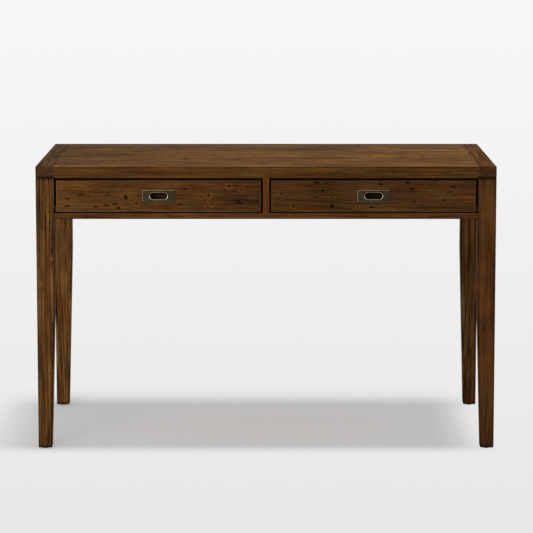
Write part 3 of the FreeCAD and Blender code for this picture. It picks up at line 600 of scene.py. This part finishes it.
def legShade(board):  # painted shade beside the drawers and under the top, and darker towards the sole
    inner = cadHigh.x - legShape["head"]
    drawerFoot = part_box("left_drawer_face")[0].z
    beside = board.between(abs(board.at[0]) - inner, *legBeside["inner"])
    beside = beside * board.between(board.at[2] - drawerFoot, *legBeside["up"])
    beside = beside * board.between(abs(board.facing[0]), *turnedAlong)
    ragged = board.texture(*darkBandNoise) - noiseMiddle
    sole = darkBand(board, "sole", board.at[2], ragged)
    soleEdge = darkBand(board, "soleEdge", board.at[2], ragged)
    return board.most(beside, sole, soleEdge, darkBand(board, "legTop", board.high.z - board.at[2], ragged))


for name, leg in legWood.items():
    look = stainedAndShaded(deskStain, *leg["tint"], streakShare=leg["streakShare"], lean=leg["lean"], **allLegs)
    pine(f"leg_{name}", "z", look, leg["seed"], leg["pith"], placedMarks(leg), legSpans, legShade)
print("legs finished")

# aprons, front rail and stile
aprons = {
    "side_apron_left": {"grain": "y", "branch": "x", "seed": 33.1, "markSeed": 33.1, "pith": (0.07, -0.02),
                        "dashes": 6, "eyes": 4},
    "side_apron_right": {"grain": "y", "branch": "x", "seed": 35.9, "markSeed": 35.9, "pith": (0.07, -0.02),
                         "dashes": 6, "eyes": 4},
    "back_apron": {"grain": "x", "branch": "y", "seed": 37.7, "markSeed": 37, "pith": (0.08, 0.03),
                   "dashes": 9, "eyes": 8},
}
railWood = {"tint": (0.98, 0.94, 0.86), "seed": 41.3, "pith": (0.03, -0.05)}
stileWood = {"tint": (1.2, 0.92, 0.7), "seed": 43.9, "pith": (0.04, 0.05)}


def railShade(board):  # painted shade on the upper side, which a gap shows, and darker along the lower edge
    return board.most(upperSide(board), darkBand(board, "railFoot", board.at[2] - board.low.z))


def stileShade(board):  # painted shade on the sides, which only a gap beside a drawer shows
    return board.between(abs(board.facing[0]), *turnedAlong)


for name, apron in aprons.items():
    marks = randomMarks(name, apron["grain"], apron["branch"], apron["markSeed"], apron["dashes"],
                        apron["eyes"])
    pine(name, apron["grain"], deskStain, apron["seed"], apron["pith"], marks)
pine("front_rail", "x", stainedAndShaded(deskStain, *railWood["tint"]), railWood["seed"], railWood["pith"],
     shadeOf=railShade)
pine("drawer_stile", "z", stainedAndShaded(deskStain, *stileWood["tint"]), stileWood["seed"], stileWood["pith"],
     shadeOf=stileShade)
print("frame finished")

# drawer faces; marks in mm: along from the left end, up from the lower edge, half length and half height
# face tints are partly the wood's tone and partly painted light and shade, paler on the left
faceWood = {
    "left": {
        "seed": 51.1, "tint": (1.07, 1.07, 1.04), "lean": -0.38, "wornShare": 0.6,
        "dashes": [(30, 15, 9, 2.6), (31, 35, 12, 1.6), (66, 46, 13, 2.6), (105, 14, 6, 3),
                   (134, 45, 9, 2.2), (134, 18, 10, 2.6), (157, 22, 9, 3.2), (166, 10, 7, 5),
                   (185, 39, 6, 8), (486, 24, 14, 1.8), (480, 30, 12, 1.6), (330, 20, 12, 1.4),
                   (340, 62, 14, 1.4)],
        "eyes": [(84, 38, 4, 3), (213, 24, 5, 4), (382, 40, 4.6, 4.4), (404, 43, 5.4, 5),
                 (402, 11, 4.6, 4.2), (459, 69, 5.4, 4.6), (491, 59, 4.6, 4)],
        "flashes": [],
    },
    "right": {
        "seed": 57.7, "tint": (0.77, 0.77, 0.77), "lean": -0.06, "wornShare": 0.25,
        "dashes": [(122, 78, 9, 3), (145, 76, 8, 2.2), (136, 57, 7, 3.2), (119, 39, 12, 1.6),
                   (162, 15, 7, 5.6), (290, 73, 8, 2.6), (361, 78, 8, 3), (372, 62, 8, 3.2),
                   (481, 67, 8, 3), (473, 54, 8, 2.4), (458, 32, 8, 3.6), (379, 28, 8, 2.8),
                   (436, 83, 9, 2.4), (269, 13, 9, 2.4)],
        "eyes": [(60, 14, 4.6, 4), (162, 38, 4.4, 3.6), (28, 47, 4, 3.4), (11, 49, 3.6, 3)],
        "flashes": [],
    },
}
faceGrain = {"pith": (0.01, -0.05), "taper": 0.05, "worn": tone(138, 104, 58), "sides": (0.97, 0.75)}
# painted shadow round a pull: its reach from the plate, and its shares all round, below and at the right
pullShadowLook = {"reach": (0.0032, 0.0008), "share": 0.15, "below": (-0.012, -0.016), "belowShare": 0.55,
             "right": (0.04, 0.043), "rightShare": 0.3}


def faceShade(side):  # painted shade on the sides and edges of a drawer face, and a painted shadow round its pull
    plateLow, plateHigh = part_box(f"{side}_pull_plate")
    middle = (plateLow + plateHigh) / 2
    half = (plateHigh - plateLow) / 2

    def shade(board):
        fromX = board.at[0] - middle.x
        fromZ = board.at[2] - middle.z
        past = board.most(abs(fromX) - half.x, abs(fromZ) - half.z)
        below = board.between(fromZ, *pullShadowLook["below"]) * pullShadowLook["belowShare"]
        right = board.between(fromX, *pullShadowLook["right"]) * pullShadowLook["rightShare"]
        pullShadow = board.between(past, *pullShadowLook["reach"]) * (below + right + pullShadowLook["share"])
        topEdge = darkBand(board, "faceTop", board.high.z - board.at[2])
        rightEdge = darkBand(board, "faceRight", board.high.x - board.at[0])
        sides = board.between(abs(board.facing[1]), *faceGrain["sides"])
        return board.most(sides, pullShadow, topEdge, rightEdge)
    return shade


for side, face in faceWood.items():
    look = stainedAndShaded(deskStain, *face["tint"], lean=face["lean"], wornShare=face["wornShare"],
                  worn=faceGrain["worn"], taper=faceGrain["taper"])
    pine(f"{side}_drawer_face", "x", look, face["seed"], faceGrain["pith"], placedMarks(face),
         shadeOf=faceShade(side))
print("drawer faces finished")

# drawer boxes and what is hidden inside the desk
boxBoards = {"seeds": {"left": 61.3, "right": 71.9}, "seedStep": 1.9,
             "pith": (0.05, -0.06), "bottomPith": (0.05, -0.11),
             "grains": {"box_front": "x", "box_rear": "x", "side_left": "y", "side_right": "y"}}
hiddenBoards = {"seed": 81.7, "seedStep": 2.3, "pith": (0.05, -0.05),
                "grains": {"hidden_rail": "x", "drawer_partition": "y", "centre_runner": "y",
                           "slide_packer_left": "y", "slide_packer_right": "y", "top_buttons": "x"}}
for side, firstSeed in boxBoards["seeds"].items():
    for number, (name, grain) in enumerate(boxBoards["grains"].items()):
        seed = firstSeed + boxBoards["seedStep"] * number
        pine(f"{side}_drawer_{name}", grain, boxPine, seed, boxBoards["pith"])
    seed = firstSeed + boxBoards["seedStep"] * len(boxBoards["grains"])
    pine(f"{side}_drawer_bottom", "x", plyBottom, seed, boxBoards["bottomPith"])
for number, (name, grain) in enumerate(hiddenBoards["grains"].items()):
    seed = hiddenBoards["seed"] + hiddenBoards["seedStep"] * number
    pine(name, grain, innerPine, seed, hiddenBoards["pith"])
print("drawer boxes finished")

# black slides, scuffed to bare steel in places
slideLook = {
    "coat": tone(20, 20, 21), "scuffed": tone(46, 46, 47), "scuffNoise": ((60.0, 18.0, 220.0), 4.0, 0.65),
    "scuff": (0.52, 0.72), "bare": (0.55, 0.75), "metallic": 0.6, "roughness": 0.46, "specular": 0.2,
    "brushNoise": ((900.0, 12.0, 900.0), 3.0, 0.6), "brushShare": 0.2, "bump": 0.1, "bumpDepth": 0.0002,
}
# zinc screws, with the spangle of their plating
zincLook = {
    "bright": tone(190, 192, 194), "dull": tone(158, 160, 162), "spangle": (0.35, 0.7), "roughness": 0.34,
    "spangleNoise": ((400.0, 400.0, 400.0), 2.0, 0.5), "spangleShare": 0.12,
    "brushNoise": ((900.0, 900.0, 12.0), 3.0, 0.6), "brushShare": 0.25, "bump": 0.15, "bumpDepth": 0.0002,
}


def blackSlides(*used):
    finish = Finish("black_slides")
    brushed = finish.texture(*slideLook["brushNoise"])
    scuff = finish.texture(*slideLook["scuffNoise"])
    scuffed = finish.between(scuff, *slideLook["scuff"])
    finish.coat({
        "Base Color": finish.mix(scuffed, slideLook["coat"], slideLook["scuffed"]),
        "Metallic": finish.between(scuff, *slideLook["bare"]) * slideLook["metallic"],
        "Roughness": slideLook["roughness"] + (brushed - noiseMiddle) * slideLook["brushShare"],
        "Specular IOR Level": slideLook["specular"],
        "Normal": finish.bump(brushed, slideLook["bump"], slideLook["bumpDepth"]),
    })
    finish.wear(*used)


def zincScrews(*used):
    finish = Finish("zinc_screws")
    brushed = finish.texture(*zincLook["brushNoise"])
    spangle = finish.texture(*zincLook["spangleNoise"])
    bright = finish.between(spangle, *zincLook["spangle"])
    roughness = zincLook["roughness"] + (brushed - noiseMiddle) * zincLook["brushShare"]
    finish.coat({
        "Base Color": finish.mix(bright, zincLook["dull"], zincLook["bright"]),
        "Metallic": 1.0,
        "Roughness": roughness + (spangle - noiseMiddle) * zincLook["spangleShare"],
        "Normal": finish.bump(brushed, zincLook["bump"], zincLook["bumpDepth"]),
    })
    finish.wear(*used)


blackSlides(*[name for name in nodes if name.endswith("_member")])
zincScrews(*[name for name in nodes if name.endswith("_screws") and "pull" not in name])
print("slides and screws finished")

# flush pulls: an aged plate and a dark cup; lengths in metres, those of the halves from the plate's middle
pullLook = {
    "dark": tone(36, 28, 12), "mid": tone(65, 50, 24), "patina": (0.38, 0.62),
    "patinaNoise": ((190.0, 190.0, 190.0), 4.0, 0.6), "brushNoise": ((60.0, 900.0, 2400.0), 2.0, 0.6),
    "green": tone(56, 54, 30), "greenPatina": (0.5, 0.3), "greenShare": 0.4,
    "leftHalf": (0.006, -0.006), "upperHalf": (-0.003, 0.003), "darkRight": (0.012, 0.04), "darkShare": 0.4,
    "mouthLength": 0.046, "mouthHeight": 0.017, "bead": 0.0026, "fieldSink": 0.0009, "metallic": 0.75,
    "bump": 0.12, "bumpDepth": 0.0003,
}
# what hands rub bright, and painted highlight on the upper and left border and the lower bead; a pair of
# shares is what all of it has, and what the left or upper half adds
# crests and widths are parts of the bead's width, sinks of the field's depth, and glintFrom of the
# mouth's length
rubAndHighlightLook = {
    "colour": tone(176, 156, 116), "share": 0.9, "patina": (0.2, 0.5), "border": (0.0018, 0.0008),
    "endShares": (0.05, 0.55), "barShares": (0.2, 0.4), "proudSinks": (0.8, 0.3),
    "beadCrest": 0.55, "beadWidths": (0.4, 0.1), "beadShares": (0.85, -0.35),
    "grimeCrest": 1.5, "grimeWidths": (0.7, 0.2), "grimeShare": 0.6,
    "paintedGlint": tone(250, 240, 222), "glintFrom": (0.38, 0.46), "glintDrop": 0.0025,
    "glintReach": (0.0065, 0.003), "glintPatina": (0.35, 0.5), "glintShare": 1.15,
    "leftLess": {"left": 0.5, "right": 0.1},
}
# the cups are painted nearly black as shade in the recess, and browner toward the right as a painted glow
cupShadeLook = {
    "dark": tone(8, 6, 4), "paintedGlow": {"left": tone(56, 36, 21), "right": tone(24, 17, 12)},
    "stainNoise": ((240.0, 240.0, 240.0), 3.0, 0.6), "stain": (0.3, 0.55), "stainShare": 0.2,
    "glowRight": (-0.014, 0.014), "metallic": 0.05, "roughness": 0.5, "specular": 0.06,
    "bump": 0.15, "bumpDepth": 0.0003,
}
plateRoughness = {"base": 0.42, "patina": 0.3, "brushed": 0.15, "rubbedAndLit": 0.12}
plateRelief = {"patina": 0.6, "brushed": 0.4}


def bronzePlate(side):
    low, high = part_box(f"{side}_pull_plate")
    middle = (low + high) / 2
    half = (high - low) / 2
    finish = Finish(f"{side}_bronze")
    at = finish.split(finish.place)
    rightward = at[0] - middle.x
    upward = at[2] - middle.z
    fromX = abs(rightward)
    fromZ = abs(upward)
    onLeft = finish.between(rightward, *pullLook["leftHalf"])
    above = finish.between(upward, *pullLook["upperHalf"])
    patina = finish.texture(*pullLook["patinaNoise"])
    brushed = finish.texture(*pullLook["brushNoise"])
    colour = finish.mix(finish.between(patina, *pullLook["patina"]), pullLook["dark"], pullLook["mid"])
    green = finish.between(patina, *pullLook["greenPatina"]) * pullLook["greenShare"]
    colour = finish.mix(green, colour, pullLook["green"])
    darkRight = finish.between(rightward, *pullLook["darkRight"]) * pullLook["darkShare"]
    colour = finish.mix(darkRight, colour, pullLook["dark"])

    # the raised border is rubbed, and painted lighter as highlight, most at the left end and along the upper
    # bar
    def shared(shares, part):
        return part * shares[1] + shares[0]
    atEnds = finish.between(half.x - fromX, *rubAndHighlightLook["border"]) * shared(rubAndHighlightLook["endShares"], onLeft)
    atBars = finish.between(half.z - fromZ, *rubAndHighlightLook["border"]) * shared(rubAndHighlightLook["barShares"], above)

    # the bead round the mouth is rubbed along its crest and painted lighter below as highlight, with grime
    # outside it
    straight = (pullLook["mouthLength"] - pullLook["mouthHeight"]) / 2
    past = finish.most(fromX - straight, 0.0)
    toMouth = (past * past + fromZ * fromZ) ** 0.5 - pullLook["mouthHeight"] / 2

    def bandRoundMouth(crest, widths):
        limits = [pullLook["bead"] * part for part in widths]
        return finish.between(abs(toMouth - pullLook["bead"] * crest), *limits)
    grimy = bandRoundMouth(rubAndHighlightLook["grimeCrest"], rubAndHighlightLook["grimeWidths"]) * rubAndHighlightLook["grimeShare"]
    colour = finish.mix(grimy, colour, cupShadeLook["dark"])
    bead = bandRoundMouth(rubAndHighlightLook["beadCrest"], rubAndHighlightLook["beadWidths"]) * shared(rubAndHighlightLook["beadShares"], above)
    proud = finish.between(at[1] - low.y, *[pullLook["fieldSink"] * part for part in rubAndHighlightLook["proudSinks"]])
    rubbedAndLit = finish.most(atEnds, atBars, bead) * proud * finish.between(patina, *rubAndHighlightLook["patina"])
    colour = finish.mix(rubbedAndLit * rubAndHighlightLook["share"], colour, rubAndHighlightLook["colour"])

    # painted highlight: glints at the lower ends of the bead
    mouthEnds = [pullLook["mouthLength"] * part for part in rubAndHighlightLook["glintFrom"]]
    paintedGlint = finish.between(fromX, *mouthEnds) * bead * proud
    paintedGlint = paintedGlint * finish.between(abs(upward + rubAndHighlightLook["glintDrop"]), *rubAndHighlightLook["glintReach"])
    paintedGlint = paintedGlint * finish.between(patina, *rubAndHighlightLook["glintPatina"])
    paintedGlint = paintedGlint * (rubAndHighlightLook["glintShare"] - onLeft * rubAndHighlightLook["leftLess"][side])
    colour = finish.mix(paintedGlint, colour, rubAndHighlightLook["paintedGlint"])
    roughness = plateRoughness["base"] + (patina - noiseMiddle) * plateRoughness["patina"]
    roughness = roughness + (brushed - noiseMiddle) * plateRoughness["brushed"]
    roughness = roughness - rubbedAndLit * plateRoughness["rubbedAndLit"]
    relief = patina * plateRelief["patina"] + brushed * plateRelief["brushed"]
    finish.coat({
        "Base Color": colour, "Metallic": pullLook["metallic"], "Roughness": roughness,
        "Normal": finish.bump(relief, pullLook["bump"], pullLook["bumpDepth"]),
    })
    finish.wear(f"{side}_pull_plate", f"{side}_pull_screws")


def shadedCup(side):
    low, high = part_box(f"{side}_pull_plate")
    finish = Finish(f"{side}_cup_painted_shade")
    stain = finish.texture(*cupShadeLook["stainNoise"])
    rightward = finish.split(finish.place)[0] - (low.x + high.x) / 2
    paintedGlow = finish.between(stain, *cupShadeLook["stain"]) * finish.between(rightward, *cupShadeLook["glowRight"])
    finish.coat({
        "Base Color": finish.mix(paintedGlow, cupShadeLook["dark"], cupShadeLook["paintedGlow"][side]),
        "Metallic": cupShadeLook["metallic"],
        "Roughness": cupShadeLook["roughness"] + stain * cupShadeLook["stainShare"],
        "Specular IOR Level": cupShadeLook["specular"],
        "Normal": finish.bump(stain, cupShadeLook["bump"], cupShadeLook["bumpDepth"]),
    })
    finish.wear(f"{side}_pull_cup")


for side in ("left", "right"):
    bronzePlate(side)
    shadedCup(side)
print("pulls finished")

# nylon pads under the legs
glideLook = {"dark": tone(26, 26, 24), "pale": tone(44, 44, 41), "noise": ((700.0, 700.0, 700.0), 3.0, 0.5),
             "roughness": 0.5, "roughShare": 0.2, "bump": 0.2, "bumpDepth": 0.0003}
glide = Finish("glide_nylon")
speckle = glide.texture(*glideLook["noise"])
glide.coat({
    "Base Color": glide.mix(speckle, glideLook["dark"], glideLook["pale"]),
    "Roughness": glideLook["roughness"] + speckle * glideLook["roughShare"],
    "Normal": glide.bump(speckle, glideLook["bump"], glideLook["bumpDepth"]),
})
glide.wear("foot_glides")
print("glides finished")

# pale floor that fades into the backdrop; the eye sees part of its paper as evenly lit
floorLook = {"radius": 6.0, "sides": 96, "paper": tone(234, 234, 234), "evenShare": 0.27, "roughness": 0.9,
             "fadeX": ((-0.84, -0.6), (0.66, 0.45)), "fadeY": ((-0.39, -0.25), (0.56, 0.36))}
black = (0.0, 0.0, 0.0, 1.0)
white = (1.0, 1.0, 1.0, 1.0)
floorMesh = bpy.data.meshes.new("floor")
floorShape = bmesh.new()
bmesh.ops.create_circle(floorShape, cap_ends=True, segments=floorLook["sides"], radius=floorLook["radius"])
floorShape.to_mesh(floorMesh)
floorShape.free()
floor = bpy.data.objects.new("floor", floorMesh)
bpy.context.scene.collection.objects.link(floor)
ground = Finish("floor_paper")
groundAt = ground.split(ground.place)
fade = 1.0
for place, fadeName in ((groundAt[0], "fadeX"), (groundAt[1], "fadeY")):
    for limits in floorLook[fadeName]:
        fade = fade * ground.between(place, *limits)
even = ground.add("ShaderNodeLightPath", out="Is Camera Ray") * floorLook["evenShare"]
ground.coat({
    "Base Color": ground.mix(even, floorLook["paper"], black),
    "Roughness": floorLook["roughness"], "Specular IOR Level": 0.0, "Alpha": fade,
    "Emission Color": ground.mix(even, black, floorLook["paper"]), "Emission Strength": 1.0,
})
floor.data.materials.append(ground.material)

# backdrop for the eye and for reflections, even light for the rest; sights are heights of the line of sight
backdropLook = {"low": tone(231, 231, 231), "high": tone(248, 248, 248), "lowSight": -0.25,
                "highSight": -0.03, "ambient": 0.52}
world = bpy.data.worlds.new("studio")
bpy.context.scene.world = world
world.use_nodes = True
sky = NodeSheet(world.node_tree)
sightHeight = sky.split(sky.add("ShaderNodeTexCoord", out="Generated"))[2]
rise = (sightHeight - backdropLook["lowSight"]) / (backdropLook["highSight"] - backdropLook["lowSight"])
backdrop = sky.mix(rise, backdropLook["low"], backdropLook["high"])
rays = ("Is Camera Ray", "Is Glossy Ray", "Is Transmission Ray")
seen = sky.most(*[sky.add("ShaderNodeLightPath", out=ray) for ray in rays])
skyShader = world.node_tree.nodes["Background"]
sky.feed(skyShader.inputs["Color"], sky.mix(seen, white, backdrop))
sky.feed(skyShader.inputs["Strength"], seen * (1 - backdropLook["ambient"]) + backdropLook["ambient"])

# soft boxes: places and sizes in metres, power in watts
softBoxes = {
    "overhead": {"place": (0.9, 0.0, 7.0), "aim": (0.0, 0.0, 0.0), "size": 1.0, "power": 175.0},
    "front_left": {"place": (-1.6, -4.5, 2.2), "aim": (0.0, -0.2, 0.5), "size": 2.5, "power": 72.0},
}
for name, box in softBoxes.items():
    lamp = bpy.data.lights.new(name, "AREA")
    lamp.shape = "SQUARE"
    lamp.size = box["size"]
    lamp.energy = box["power"]
    holder = bpy.data.objects.new(name, lamp)
    holder.location = box["place"]
    towards = Vector(box["aim"]) - Vector(box["place"])
    holder.rotation_euler = towards.to_track_quat("-Z", "Y").to_euler()
    holder.visible_camera = False
    bpy.context.scene.collection.objects.link(holder)
print("studio lit")

# camera fitted to the photograph; place in metres, pitch in degrees below level, sensor in mm
view = {"place": (0.003, -6.738, 1.449), "pitch": 7.203, "focalPixels": 2447.4, "imagePixels": 533,
        "shiftPixels": (-0.7, -53.0), "sensor": 36.0}
lens = bpy.data.cameras.new("camera")
lens.sensor_width = view["sensor"]
lens.lens = view["focalPixels"] / view["imagePixels"] * view["sensor"]
lens.shift_x = view["shiftPixels"][0] / view["imagePixels"]
lens.shift_y = view["shiftPixels"][1] / view["imagePixels"]
camera = bpy.data.objects.new("camera", lens)
camera.location = view["place"]
camera.rotation_euler = (math.radians(90 - view["pitch"]), 0.0, 0.0)
bpy.context.scene.collection.objects.link(camera)
bpy.context.scene.camera = camera
bpy.context.scene.view_settings.view_transform = "Standard"
print("camera placed")
